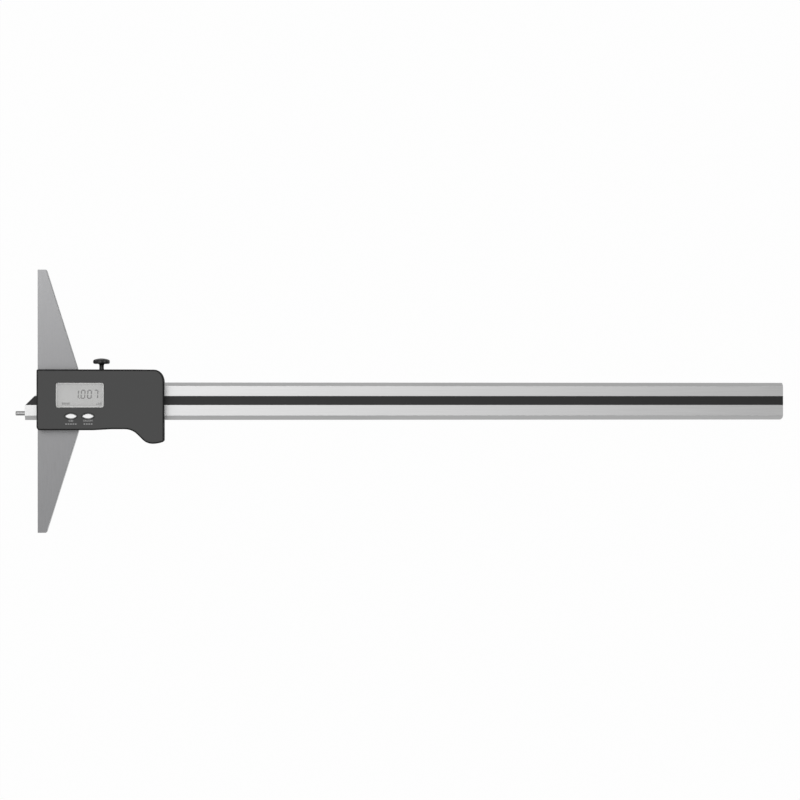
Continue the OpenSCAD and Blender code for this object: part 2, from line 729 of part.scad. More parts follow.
// A button: oval cap, rim behind the front wall and a stem over its dome
module button(x) translate([x, -button_drop, 0]) {
    rim_front = inner_front - 0.1;
    along_z(rim_front - 0.1, front + button_stand) polygon(button_outline(0));
    along_z(rim_front - 0.6, rim_front) polygon(button_outline(0.5));
    post([0, 0], board_front + dome_height + button_lift, rim_front - 0.5, 1.8);
}

// Left button
module set_button() color("white") button(button_x[0]);

// Right button
module mode_button() color("white") button(button_x[1]);

// Brass pad that the lock screw presses on the beam's upper edge
module lock_pad() color("goldenrod")
    along_y(lock_x, pad_start) {
        cylinder(h = 0.5, d1 = pad_d - 1, d2 = pad_d);
        translate([0, 0, 0.5]) cylinder(h = pad_end - pad_start - 0.5, d = pad_d);
    }

// Lock screw: thread in the rail, plain stem with a shoulder, and a domed head with finger hollows
module lock_screw() color("#202020") {
    r = lock_head_d / 2;
    hollow_d = 0.4 * lock_head_d;
    shoulder = [case_top + 0.3, case_top + 1.1];
    rod_y(lock_x, pad_end + 0.02, head_start + 1, lock_stem);
    along_y(lock_x, shoulder[0])
        cylinder(h = shoulder[1] - shoulder[0], d1 = lock_shoulder_d, d2 = lock_stem);
    difference() {
        along_y(lock_x, head_start) rotate_extrude() polygon(lock_profile(r));
        for (i = [0:lock_hollows - 1])
            translate([lock_x, 0, 0]) rotate([0, 360 * (i + 0.5) / lock_hollows, 0])
                rod_y(r + hollow_d / 4, head_start - 0.1, head_start + lock_head_height, hollow_d);
    }
}

// Half profile of the lock screw's head: fillet, flat underside, round rim and a dome tangent to it
function lock_profile(r) =
    let (a = r - lock_rim,
         rise = lock_head_height - 2 * lock_rim,
         dome = (lock_head_height * rise - a * a) / (2 * rise),
         join = atan2(lock_rim - dome, a))
    concat(
        [[0, -lock_fillet]],
        arc([lock_stem / 2 + lock_fillet, -lock_fillet], lock_fillet, 180, 90, 4),
        arc([a, lock_rim], lock_rim, 270, 360 + join, 7),
        arc([0, dome], lock_head_height - dome, join + (90 - join) / 3, 90, 2));

// Battery tray: an open ring around the cell, with a cap that closes the slot
module battery_tray() color("#404040") difference() {
    union() {
        block([tray_x[0], tray_x[1] + wall / 2], [-tray_half, tray_half],
            [tray_bottom, tray_top]);
        along_z(slot_z[0] + tray_gap, slot_z[1] - tray_gap) intersection() {
            polygon(case_outline(0));
            translate([case_right - wall, -tray_cap_half]) square([wall, 2 * tray_cap_half]);
        }
    }
    post([cell_x, 0], tray_bottom + tray_floor, tray_top + 1, cell_d + 0.2);
    post([cell_x, 0], tray_bottom - 1, tray_top, cell_d - 3);
    block([case_right - 0.5, case_right + 1], [-4, 4],
        [(tray_top + tray_bottom) / 2 - 0.6, (tray_top + tray_bottom) / 2 + 0.6]);
}

// Coin cell: a can with a smaller lid at its back
module battery() color("lightsteelblue") {
    z = tray_bottom + tray_floor;
    post([cell_x, 0], z, z + 0.5, cell_d - 2.4);
    post([cell_x, 0], z + 0.5, z + cell_height, cell_d);
}

base();
slider_frame();
base_screws();
gib();
gib_screws();
housing();
rear_cover();
case_screws();
window_pane();
lcd_panel();
lcd_holder();
zebra_strips();
circuit_board();
board_screws();
microchip();
crystal();
button_domes();
battery_contacts();
beam();
scale_strip();
measuring_pin();
stop_screws();
set_button();
mode_button();
lock_pad();
lock_screw();
battery_tray();
battery();
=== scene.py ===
# %% [markdown]
# # Dressing a digital depth gauge
#
# The gauge is a long steel beam that slides through a display unit on a wide measuring base. Its
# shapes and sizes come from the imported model. This script gives them rounded edges, real
# finishes, a readable display and soft studio light, one small step at a time.

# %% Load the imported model
import json
import math

import bmesh
import bpy
from mathutils import Matrix, Vector


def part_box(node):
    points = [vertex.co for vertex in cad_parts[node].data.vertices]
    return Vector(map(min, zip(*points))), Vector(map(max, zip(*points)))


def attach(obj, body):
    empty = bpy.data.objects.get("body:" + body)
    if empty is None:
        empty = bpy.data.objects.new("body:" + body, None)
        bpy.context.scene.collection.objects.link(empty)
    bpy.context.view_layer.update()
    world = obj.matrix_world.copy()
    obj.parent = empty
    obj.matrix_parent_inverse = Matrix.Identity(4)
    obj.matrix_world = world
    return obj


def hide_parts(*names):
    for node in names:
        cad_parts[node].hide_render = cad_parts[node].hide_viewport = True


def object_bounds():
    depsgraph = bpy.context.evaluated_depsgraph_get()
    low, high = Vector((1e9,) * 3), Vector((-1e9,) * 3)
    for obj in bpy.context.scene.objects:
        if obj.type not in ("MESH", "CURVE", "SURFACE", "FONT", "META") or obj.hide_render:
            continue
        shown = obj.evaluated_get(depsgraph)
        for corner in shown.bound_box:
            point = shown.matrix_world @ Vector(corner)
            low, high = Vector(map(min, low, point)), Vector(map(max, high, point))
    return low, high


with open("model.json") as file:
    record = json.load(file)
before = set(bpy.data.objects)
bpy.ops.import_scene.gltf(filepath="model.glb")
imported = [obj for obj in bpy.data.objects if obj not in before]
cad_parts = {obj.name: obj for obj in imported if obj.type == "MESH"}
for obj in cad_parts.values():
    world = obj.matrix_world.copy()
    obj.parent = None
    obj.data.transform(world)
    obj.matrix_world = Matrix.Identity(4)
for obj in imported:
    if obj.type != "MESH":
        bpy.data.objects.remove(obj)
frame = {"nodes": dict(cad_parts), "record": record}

MM = 0.001                                   # lengths are kept in metres and written as mm * MM
MERGE = 0.001 * MM                           # points closer than this are one point
nodes = frame["nodes"]
cad_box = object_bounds()
print("nodes:", len(nodes), " size in mm:", [round(v / MM, 1) for v in cad_box[1] - cad_box[0]])

# %% [markdown]
# ## Camera
#
# The photograph looks square at the display from more than a metre away, a little from the
# left. A long lens that far away keeps the base's two arms the same length.

# %% Camera
IMAGE_WIDTH = 800                            # pixels
FOCAL_PIXELS = 2253                          # focal length in pixels
SENSOR = 36                                  # millimetres
CAMERA_DISTANCE = 1.3                        # metres
CAMERA_YAW = math.radians(4.5)               # how far left of square it stands
base_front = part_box("base")[1].z
AIM = Vector((0.2071, 0.0007, base_front))   # the point at the middle of the picture

camera = bpy.data.objects.new("camera", bpy.data.cameras.new("camera"))
bpy.context.scene.collection.objects.link(camera)
camera.data.sensor_width = SENSOR
camera.data.lens = SENSOR * FOCAL_PIXELS / IMAGE_WIDTH
camera.location = AIM + CAMERA_DISTANCE * Vector(
    (-math.sin(CAMERA_YAW), 0, math.cos(CAMERA_YAW)))
camera.rotation_euler = (0, -CAMERA_YAW, 0)
bpy.context.scene.camera = camera
print("lens:", round(camera.data.lens, 1), "mm")

# %% [markdown]
# ## Colours and nodes
#
# Colours are written as the eye sees them, in hex, and turned to linear light once. One function
# adds a shader node with its settings and links, so that each material reads as a short list.

# %% Colours and nodes
def linear(hex_color):
    """The linear colour of an sRGB hex value such as "#4b4b4b"."""
    channels = [int(hex_color[i:i + 2], 16) / 255 for i in (1, 3, 5)]
    return [c / 12.92 if c <= 0.04045 else ((c + 0.055) / 1.055) ** 2.4 for c in channels] + [1]


def add(tree, kind, inputs={}, **settings):
    """Adds a shader node: its settings first, then a value or a link for each named input."""
    node = tree.nodes.new("ShaderNode" + kind)
    for name, value in settings.items():
        setattr(node, name, value)
    for name, value in inputs.items():
        if isinstance(value, bpy.types.NodeSocket):
            tree.links.new(value, node.inputs[name])
        else:
            node.inputs[name].default_value = value
    return node


WHITE = linear("#ffffff")
print("a mid grey in linear light:", round(linear("#808080")[0], 3))

# %% [markdown]
# ## Floor, backdrop and light
#
# The photograph has a pure white ground. A floor that is only a little lit and mostly glows
# towards the camera stays white and still shows a faint shadow. For all other light it is plain
# pale card, so it doesn't brighten the object.

# %% Floor
FLOOR_GLOW = 0.985                           # share of the white that doesn't depend on light
FLOOR_SIZE = 4.0                             # metres
FLOOR_GAP = 0.1 * MM                         # between the floor and the gauge's back
floor_material = bpy.data.materials.new("pale_floor")
floor_material.use_nodes = True
tree = floor_material.node_tree
tree.nodes.clear()
seen = add(tree, "LightPath")
direct = add(tree, "Math", {0: seen.outputs["Is Camera Ray"], 1: seen.outputs["Is Glossy Ray"]},
             operation="MAXIMUM")
seen_at_all = add(tree, "Math", {0: direct.outputs[0], 1: seen.outputs["Is Transmission Ray"]},
                  operation="MAXIMUM")
share = add(tree, "Math", {0: seen_at_all.outputs[0], 1: FLOOR_GLOW}, operation="MULTIPLY")
card = add(tree, "BsdfDiffuse", {"Color": linear("#8a8a8a")})
glow = add(tree, "Emission", {"Color": WHITE, "Strength": 1.0})
mixed = add(tree, "MixShader", {0: share.outputs[0], 1: card.outputs[0], 2: glow.outputs[0]})
add(tree, "OutputMaterial", {"Surface": mixed.outputs[0]})

floor_mesh = bpy.data.meshes.new("floor")
shape = bmesh.new()
bmesh.ops.create_grid(shape, x_segments=1, y_segments=1, size=FLOOR_SIZE / 2)
bmesh.ops.translate(shape, verts=shape.verts, vec=(AIM.x, 0, cad_box[0].z - FLOOR_GAP))
shape.to_mesh(floor_mesh)
shape.free()
floor = bpy.data.objects.new("floor", floor_mesh)
floor_mesh.materials.append(floor_material)
bpy.context.scene.collection.objects.link(floor)
print("floor:", FLOOR_SIZE, "m wide,", round(FLOOR_GAP / MM, 1), "mm under the gauge")

# %% [markdown]
# The light is a very large soft box above the base's end, a smaller one beyond the upper arm and
# an evenly lit room. The large box makes the steel brighter at its left end, as in the photograph.
# Both lamps stand high, so the rounded edges of the dark case get little light, and a painted
# shade makes them almost black. The room looks white to the camera only.

# %% Light
def soft_box(name, place, aim, size, power):
    """A square area lamp at a place, facing a point: metres and watts."""
    lamp = bpy.data.lights.new(name, "AREA")
    lamp.size = size
    lamp.energy = power
    box = bpy.data.objects.new(name, lamp)
    box.location = place
    box.rotation_euler = (Vector(aim) - Vector(place)).to_track_quat("-Z", "Y").to_euler()
    bpy.context.scene.collection.objects.link(box)


soft_box("wide_light", place=(-0.3, 0.05, 1.55), aim=(0.1, 0, 0), size=2.2, power=10.8)
soft_box("key_light", place=(-0.15, 0.38, 1.25), aim=(0.05, 0, 0), size=0.5, power=2.4)
ROOM_LIGHT = 0.52                            # share of a white room
world = bpy.data.worlds.new("room")
bpy.context.scene.world = world
world.use_nodes = True
tree = world.node_tree
tree.nodes.clear()
seen = add(tree, "LightPath")
room = add(tree, "Background", {"Color": WHITE, "Strength": ROOM_LIGHT})
white = add(tree, "Background", {"Color": WHITE, "Strength": 1.0})
mixed = add(tree, "MixShader", {0: seen.outputs["Is Camera Ray"], 1: room.outputs[0],
                                2: white.outputs[0]})
add(tree, "OutputWorld", {"Surface": mixed.outputs[0]})
bpy.context.scene.view_settings.view_transform = "Standard"

# %% [markdown]
# ## A surface that isn't perfect
#
# Most finishes here are one common plastic or metal whose colour and gloss wander a little, with
# a fine relief. This function makes such a surface from real sizes in millimetres: the size of
# the grain, how far it is drawn out along each axis, and how deep it is. Rounded edges carry a
# mark named "worn", and a finish may show another colour there in patches, where hands and the
# bench have rubbed it.

# %% A worn surface
finishes = {}
PATCH = 2.5                                  # size of the rubbed patches in millimetres


def grain(tree, size, stretch=(1, 1, 1)):
    """Noise with spots of a size in millimetres, drawn out along the three axes."""
    where = add(tree, "TexCoord")
    scaled = add(tree, "Mapping", {"Vector": where.outputs["Object"],
                                   "Scale": [1 / (size * s * MM) for s in stretch]})
    return add(tree, "TexNoise", {"Vector": scaled.outputs[0], "Scale": 1.0, "Detail": 3.0})


def rubbed(tree, color, edge):
    """Shows another colour in patches along the edges that carry the mark."""
    mark = add(tree, "Attribute", attribute_name="worn")
    patches = add(tree, "MapRange", {"Value": grain(tree, PATCH).outputs["Fac"],
                                     "From Min": 0.42, "From Max": 0.62})
    amount = add(tree, "Math", {0: mark.outputs["Fac"], 1: patches.outputs[0]},
                 operation="MULTIPLY")
    return add(tree, "Mix", {0: amount.outputs[0], 6: color, 7: linear(edge)},
               data_type="RGBA").outputs[2]


def turned(tree, color, side):
    """Paints shade: another colour where the surface turns away from the flat front and back."""
    facing = add(tree, "SeparateXYZ", {0: add(tree, "NewGeometry").outputs["True Normal"]})
    flat = add(tree, "Math", {0: facing.outputs["Z"]}, operation="ABSOLUTE")
    amount = add(tree, "MapRange", {"Value": flat.outputs[0], "From Min": 0.995, "From Max": 0.9})
    return add(tree, "Mix", {0: amount.outputs[0], 6: color, 7: linear(side)},
               data_type="RGBA").outputs[2]


def finish(slot, name, colors, gloss, size, depth, edge=None, side=None, metallic=0.0,
           stretch=(1, 1, 1), **sockets):
    """A material for a slot: two colours and two roughnesses in a grain of a size and depth.

    The edge's colour shows in rubbed patches, and the side's, a painted shade, where the surface
    isn't flat. Other sockets of the surface are named with low lines for their spaces.
    """
    material = bpy.data.materials.new(name)
    material.use_nodes = True
    tree = material.node_tree
    surface = tree.nodes["Principled BSDF"]
    surface.inputs["Metallic"].default_value = metallic
    for socket, value in sockets.items():
        surface.inputs[socket.replace("_", " ")].default_value = value
    spots = grain(tree, size, stretch)
    color = add(tree, "Mix", {0: spots.outputs["Fac"], 6: linear(colors[0]), 7: linear(colors[1])},
                data_type="RGBA").outputs[2]
    # painted shade where the surface turns away from the flat front and back
    if side:
        color = turned(tree, color, side)
    if edge:
        color = rubbed(tree, color, edge)
    rough = add(tree, "MapRange", {"Value": spots.outputs["Fac"], "From Min": 0.3, "From Max": 0.7,
                                   "To Min": gloss[0], "To Max": gloss[1]})
    relief = add(tree, "Bump", {"Height": spots.outputs["Fac"], "Distance": depth * MM})
    tree.links.new(color, surface.inputs["Base Color"])
    tree.links.new(rough.outputs[0], surface.inputs["Roughness"])
    tree.links.new(relief.outputs[0], surface.inputs["Normal"])
    finishes[slot] = material


# %% [markdown]
# ## Metals
#
# The beam is hardened stainless steel, ground and then brushed along its length. Long fine lines
# make its grey change from row to row. The real lines are about 0.05 mm apart, too fine to show,
# so they are drawn 0.5 mm apart here.

# %% Steel, aluminium and brass
LINES = (60, 1, 1)                           # brushed lines run along the beam
finish("beam_steel", "brushed_stainless_steel", ("#b7b7b7", "#cbcbcb"), (0.3, 0.42), 0.5, 0.006,
       edge="#e4e4e4", metallic=1.0, stretch=LINES)
# The base is ground across its width, matt chromium plated, and much darker than the beam
finish("ground_steel", "matt_chromium_plated_steel", ("#777778", "#818182"), (0.28, 0.36), 0.4,
       0.004, edge="#98989a", metallic=1.0, stretch=(1, 20, 1))
# The pin is centreless ground: fine rings around a bright shaft
finish("pin_steel", "ground_silver_steel", ("#8e8e8e", "#a2a2a2"), (0.26, 0.36), 0.2, 0.003,
       metallic=1.0, stretch=(0.5, 20, 20))
# Screws are black oxidised, which leaves a dark satin skin with brown undertones
finish("screw_steel", "black_oxide_steel", ("#2b2a29", "#3a3836"), (0.35, 0.5), 0.3, 0.004,
       edge="#8c8984", metallic=1.0)
# The frame is die-cast aluminium with a finely pitted, dull skin
finish("frame_aluminium", "die_cast_aluminium", ("#a5a6a8", "#bcbdbf"), (0.45, 0.6), 0.5, 0.02,
       edge="#cccdcf", metallic=1.0)
# Cartridge brass, drawn to strip, with slight tarnish
finish("brass", "drawn_brass", ("#b08d4a", "#c9a75e"), (0.3, 0.45), 0.8, 0.004, metallic=1.0,
       stretch=(8, 1, 1))
# Tinned sheet: bright, soft and a little wavy
finish("tinned_metal", "tinned_sheet", ("#c4c4c2", "#dadad8"), (0.25, 0.4), 0.7, 0.01,
       metallic=1.0)
# The cell's can is nickel plated steel, deep drawn and bright
finish("cell_steel", "nickel_plated_steel", ("#c9c6c0", "#dedbd5"), (0.18, 0.3), 1.5, 0.004,
       metallic=1.0)
print("metals:", sorted(finishes))

# %% [markdown]
# ## Plastics and rubber
#
# The case is moulded ABS in charcoal grey. Its tool was spark eroded, which leaves a fine even
# roughness of about 0.1 mm that makes the surface dull; here it is drawn at 0.35 mm. That
# texture scatters nearly all the light, so the specular level is far below a polished plastic's.
# The rounded edges and walls are painted much darker: a painted shade, where they turn away from
# the lamps.

# %% Plastics and rubber
PAINTED_EDGE_SHADE = "#1e1e1e"                         # painted shade on the case's rounded edges and walls
finish("housing_plastic", "moulded_charcoal_abs_painted_edge_shade", ("#4a4a4a", "#505050"), (0.55, 0.65), 0.35,
       0.015, side=PAINTED_EDGE_SHADE, Specular_IOR_Level=0.1)
finish("cover_plastic", "moulded_dark_abs_painted_edge_shade", ("#484848", "#4e4e4e"), (0.55, 0.65), 0.35, 0.015,
       side=PAINTED_EDGE_SHADE, Specular_IOR_Level=0.1)
# The lock screw's head is glass-filled nylon, black, with a slight sheen
finish("lock_plastic", "moulded_black_nylon", ("#171717", "#202020"), (0.35, 0.5), 0.5, 0.01)
# The buttons are white silicone rubber with a hard coat: smooth, with a soft gloss
finish("button_plastic", "coated_white_silicone", ("#f4f4f4", "#fbfbfb"), (0.3, 0.4), 0.6, 0.004)
# The display's holder is plain white nylon, dull from its tool
finish("holder_plastic", "moulded_white_nylon", ("#d8d8d2", "#e2e2dc"), (0.45, 0.55), 0.5, 0.01)
# The strip is a copper pattern under dark satin laminate
finish("strip", "satin_black_laminate", ("#1c1c1c", "#242424"), (0.38, 0.5), 0.6, 0.005,
       stretch=(30, 1, 1), Specular_IOR_Level=0.3)
# The circuit board is glass-fibre laminate under green lacquer
finish("board", "green_lacquered_laminate", ("#12401f", "#1a552b"), (0.25, 0.4), 1.2, 0.02)
# The package is black epoxy, moulded and matt
finish("chip", "moulded_epoxy", ("#1a1a1a", "#232323"), (0.5, 0.65), 0.2, 0.01)
# The contact strips are silicone in thin layers, insulating and conducting by turns
finish("contact_rubber", "striped_silicone", ("#b48a8e", "#d9b6b8"), (0.5, 0.6), 0.3, 0.01,
       stretch=(1, 50, 50))
print("plastics:", len(finishes))

# %% [markdown]
# ## The display
#
# The display is a grey reflective glass under a matt polarising film. Lit segments are a dark
# grey that isn't quite black, because the film scatters light over them.

# %% Display finishes
finish("lcd", "polarising_film", ("#acacaa", "#b4b4b3"), (0.4, 0.5), 6.0, 0.002)
finish("segments", "liquid_crystal_grey", ("#3a3a38", "#424240"), (0.4, 0.5), 0.5, 0.001)
# Legends are printed with a soft pad, in a thin pale ink
finish("ink", "pad_printed_ink", ("#a0a0a0", "#b4b4b4"), (0.5, 0.6), 0.3, 0.004)
# A pale sloped rim frames the glass; its pale colour is a painted highlight for the light that the
# pane's edge catches
finish("rim", "pale_rim_painted_highlight", ("#dededc", "#eaeae8"), (0.6, 0.7), 0.3, 0.01)
# The pane is cast acrylic: all but clear, it mirrors about 8 percent of the light
finish("pane", "clear_cast_acrylic", ("#ffffff", "#ffffff"), (0.04, 0.08), 4.0, 0.001,
       metallic=1.0, Alpha=0.08)
print("finishes:", len(finishes))

# %% [markdown]
# ## Copies with rounded edges
#
# A CAD solid has perfectly sharp edges, and real ones never do. A merged copy of the solid gets
# its long edges bevelled, and stands for the node. Its large flat faces keep straight normals
# because the normals are weighted by area. The new narrow faces are marked as worn.

# %% Copies with rounded edges
SHARP = math.radians(32)                     # edges that turn more than this are rounded
SAME_FACE = math.radians(0.5)                # faces that turn less than this are one face
SAME_LEVEL = 0.02 * MM                       # points this close to a level lie on it


def merged(node):
    """A copy of a CAD node whose loose triangles are joined into whole faces."""
    shape = bmesh.new()
    shape.from_mesh(nodes[node].data)
    bmesh.ops.remove_doubles(shape, verts=shape.verts, dist=MERGE)
    bmesh.ops.dissolve_limit(shape, angle_limit=SAME_FACE, verts=shape.verts,
                             edges=shape.edges)
    return shape


def soften(shape, radius, chosen=None, segments=3):
    """Rounds the sharp edges, or the chosen ones of them, with a radius in millimetres."""
    worn = shape.faces.layers.float.get("worn") or shape.faces.layers.float.new("worn")
    edges = [e for e in shape.edges if e.is_manifold and e.calc_face_angle() > SHARP
             and (chosen is None or chosen(e))]
    made = bmesh.ops.bevel(shape, geom=edges, offset=radius * MM, offset_type="OFFSET",
                           affect="EDGES", segments=segments, profile=0.5, material=-1,
                           clamp_overlap=True)
    for face in made["faces"]:
        face[worn] = 1.0
    return shape


def longer_than(length):
    """Chooses the edges over a length in millimetres."""
    return lambda edge: edge.calc_length() > length * MM


def at_level(height):
    """Chooses the edges that lie at one height, in metres."""
    return lambda edge: all(abs(v.co.z - height) < SAME_LEVEL for v in edge.verts)


def piece(name, shape, slot, body, *stands_for):
    """Makes a finished piece of a shape: it rides on a body and stands for CAD nodes."""
    mesh = bpy.data.meshes.new(name)
    shape.to_mesh(mesh)
    shape.free()
    for face in mesh.polygons:
        face.use_smooth = True
    mesh.set_sharp_from_angle(angle=SHARP)
    mesh.materials.append(finishes[slot])
    item = bpy.data.objects.new(name, mesh)
    bpy.context.scene.collection.objects.link(item)
    even = item.modifiers.new("even_normals", "WEIGHTED_NORMAL")
    even.keep_sharp = True
    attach(item, body)
    if stands_for:
        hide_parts(*stands_for)
    print(f"{name}: {len(mesh.polygons)} faces on {body}")


# %% [markdown]
# ## Base, beam and pin
#
# The base and the beam are ground, and a grinder breaks their edges with a stone, by 0.2 mm or
# less. The pin's end already has its chamfer. The frame behind the beam is cast, with edges as
# small as its die leaves them.

# %% Base, beam and pin
long_edges = longer_than(3)
piece("measuring_base", soften(merged("base"), 0.2, long_edges), "ground_steel", "slider",
      "base")
piece("beam_bar", soften(merged("beam"), 0.12, long_edges), "beam_steel", "beam", "beam")
piece("pin", merged("measuring_pin"), "pin_steel", "beam", "measuring_pin")
piece("frame_casting", soften(merged("slider_frame"), 0.15, long_edges), "frame_aluminium",
      "slider", "slider_frame")

# %% [markdown]
# ## Case
#
# Both shells are already round along their outer edges. The window gets a small radius, the
# dishes around the buttons a finer one, and so do the rims where the shells meet, which shows as
# a parting line.

# %% Case
WINDOW_EDGE = 0.25                           # radii in millimetres
DISH_EDGE = 0.06
PARTING_EDGE = 0.12
TRAY_EDGE = 0.15
housing_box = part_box("housing")
parting_level = housing_box[0].z
front_level = housing_box[1].z
window_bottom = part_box("window_pane")[0].y

front_shell = merged("housing")
soften(front_shell, WINDOW_EDGE, lambda edge: at_level(front_level)(edge)
       and edge.verts[0].co.y > window_bottom)
soften(front_shell, DISH_EDGE, at_level(front_level), segments=1)
soften(front_shell, PARTING_EDGE, at_level(parting_level), segments=2)
piece("front_shell", front_shell, "housing_plastic", "slider", "housing")
back_shell = soften(merged("rear_cover"), PARTING_EDGE, at_level(parting_level), segments=2)
piece("back_shell", back_shell, "cover_plastic", "slider", "rear_cover")
tray = soften(merged("battery_tray"), TRAY_EDGE, longer_than(0.5))
piece("tray_drawer", tray, "cover_plastic", "battery_drawer", "battery_tray")

# %% [markdown]
# ## Buttons
#
# A button's cap is a little crowned, so its upper edge gets a larger radius than the case's, and
# it tapers towards its top, so that it doesn't jam in its hole.

# %% Buttons
CAP_TAPER = (0.94, 0.88, 1)                  # top over foot, along and across the button
CAP_EDGE = 0.4                               # millimetres
button_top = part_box("set_button")[1].z
for side in ("set", "mode"):
    cap = merged(side + "_button")
    top = [v for v in cap.verts if v.co.z > button_top - 0.1 * MM]
    low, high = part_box(side + "_button")
    middle = Matrix.Translation((low + high) / 2)
    bmesh.ops.scale(cap, verts=top, vec=CAP_TAPER, space=middle.inverted())
    soften(cap, CAP_EDGE, at_level(button_top), segments=5)
    piece(side + "_cap", cap, "button_plastic", side + "_button", side + "_button")

# %% [markdown]
# ## Lock screw
#
# The lock screw's head is moulded around its stem: a thick disc with a low dome, five finger
# hollows around its rim and a smooth neck. It is turned from one profile, like the master that
# its tool was made from, and the hollows are then pressed into the rim.

# %% Thumb screw
HOLLOWS = 5
HOLLOW_DEPTH = 0.13                          # as a share of the radius
HOLLOW_START = 3.3                           # the radius at which they begin, in millimetres
HOLLOW_RUN = 1.1                             # how much further out they are at their deepest
STEPS = 60                                   # around the head, twelve to a hollow
PROFILE = [(0, 0), (1.0, 0), (1.2, 0.2), (1.2, 5.1), (1.45, 5.2), (1.35, 5.6), (1.3, 6.6),
           (1.32, 7.5), (1.42, 8.0), (1.7, 8.32), (2.3, 8.42), (3.7, 8.42), (4.4, 8.55),
           (4.75, 8.9), (4.85, 9.4), (4.85, 10.05), (4.7, 10.5), (4.3, 10.85), (3.4, 11.15),
           (2.2, 11.42), (1.0, 11.58), (0, 11.62)]      # radius and height in millimetres
joints = {j["name"]: j for j in frame["record"]["behaviour"]["joints"]}
axis = joints["lock_turn"]["pos_m"]
lock_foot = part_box("lock_screw")[0].y
turned_head = bmesh.new()
chain = [turned_head.verts.new((r * MM, 0, h * MM)) for r, h in PROFILE]
for a, b in zip(chain, chain[1:]):
    turned_head.edges.new((a, b))
bmesh.ops.spin(turned_head, geom=turned_head.verts[:] + turned_head.edges[:], cent=(0, 0, 0),
               axis=(0, 0, 1), angle=2 * math.pi, steps=STEPS, use_merge=True)
bmesh.ops.remove_doubles(turned_head, verts=turned_head.verts, dist=MERGE)
for vert in turned_head.verts:
    outwards = vert.co.xy.length / MM - HOLLOW_START
    if outwards > 0:
        press = max(0, math.cos(HOLLOWS * math.atan2(vert.co.y, vert.co.x))) ** 2
        vert.co.xy *= 1 - HOLLOW_DEPTH * press * min(1, outwards / HOLLOW_RUN)
bmesh.ops.recalc_face_normals(turned_head, faces=turned_head.faces)
bmesh.ops.transform(turned_head, verts=turned_head.verts,
                    matrix=Matrix.Translation((axis[0], lock_foot, axis[2]))
                    @ Matrix.Rotation(-math.pi / 2, 4, "X"))
piece("thumb_screw", turned_head, "lock_plastic", "lock_screw", "lock_screw")

# %% [markdown]
# ## Screws
#
# Every screw that shows lies with its head towards the back. A screw is made as it is headed and
# punched in the works: a cross is cut out of a grid, joined to a round rim and pushed in, and the
# rim is then drawn down ring by ring over the head and the shank. Its place and size come from
# the CAD solids, one island of the mesh for each screw.

# %% A screw with a cross recess
SCREW_SIDES = 24
CROSS_TAPER = 0.6                            # the recess's foot over its mouth


def islands(node):
    """The lowest and the highest corner of each separate solid of a CAD node."""
    shape = merged(node)
    boxes = []
    for start in shape.verts:
        if start.tag:
            continue
        start.tag = True
        group = [start]
        for vert in group:
            for edge in vert.link_edges:
                other = edge.other_vert(vert)
                if not other.tag:
                    other.tag = True
                    group.append(other)
        low, high = [Vector([pick(v.co[i] for v in group) for i in range(3)])
                     for pick in (min, max)]
        boxes.append((low, high))
    shape.free()
    return boxes


def screw(shape, rings, cross, depth, place):
    """Adds a screw with a cross of a width and depth, drawn down over rings of (radius, level)."""
    before = set(shape.verts)
    grid = bmesh.ops.create_grid(shape, x_segments=3, y_segments=3, size=cross / 2)["verts"]
    corners = [v for v in grid if len(v.link_edges) == 2]
    star_verts = [v for v in grid if v not in corners]
    bmesh.ops.delete(shape, geom=corners, context="VERTS")
    star = list(dict.fromkeys(f for v in star_verts for f in v.link_faces))
    outline = [e for e in dict.fromkeys(e for f in star for e in f.edges) if e.is_boundary]
    radius, level = rings[0]
    rim = bmesh.ops.create_circle(shape, segments=SCREW_SIDES, radius=radius)["verts"]
    loop = list(dict.fromkeys(e for v in rim for e in v.link_edges))
    bmesh.ops.bridge_loops(shape, edges=outline + loop)
    pushed = bmesh.ops.extrude_face_region(shape, geom=star)["geom"]
    bottom = [v for v in pushed if isinstance(v, bmesh.types.BMVert)]
    bmesh.ops.scale(shape, verts=bottom, vec=(CROSS_TAPER, CROSS_TAPER, 1))
    bmesh.ops.translate(shape, verts=bottom, vec=(0, 0, -depth))
    for next_radius, next_level in rings[1:]:
        drawn = bmesh.ops.extrude_edge_only(shape, edges=loop)["geom"]
        ring = [v for v in drawn if isinstance(v, bmesh.types.BMVert)]
        loop = [e for e in drawn if isinstance(e, bmesh.types.BMEdge) and e.is_boundary]
        factor = next_radius / radius
        bmesh.ops.scale(shape, verts=ring, vec=(factor, factor, 1))
        bmesh.ops.translate(shape, verts=ring, vec=(0, 0, next_level - level))
        radius, level = next_radius, next_level
    bmesh.ops.contextual_create(shape, geom=loop)
    new = [v for v in shape.verts if v not in before]
    bmesh.ops.transform(shape, verts=new,
                        matrix=Matrix.Translation(place) @ Matrix.Rotation(math.pi, 4, "X"))


# %% [markdown]
# The heads are 1.8 times as wide as their shanks. Countersunk heads slope at 45 degrees, and the
# stop screws on the beam's back have low round heads. Rings are pairs of a radius and a level,
# from the head's face down to the shank's end.

# %% All screws
HEAD = 1.8                                   # head over shank
CROSS = 1.05                                 # width of the recess over the head's radius
CROSS_DEPTH = 0.45                           # its depth over the head's radius


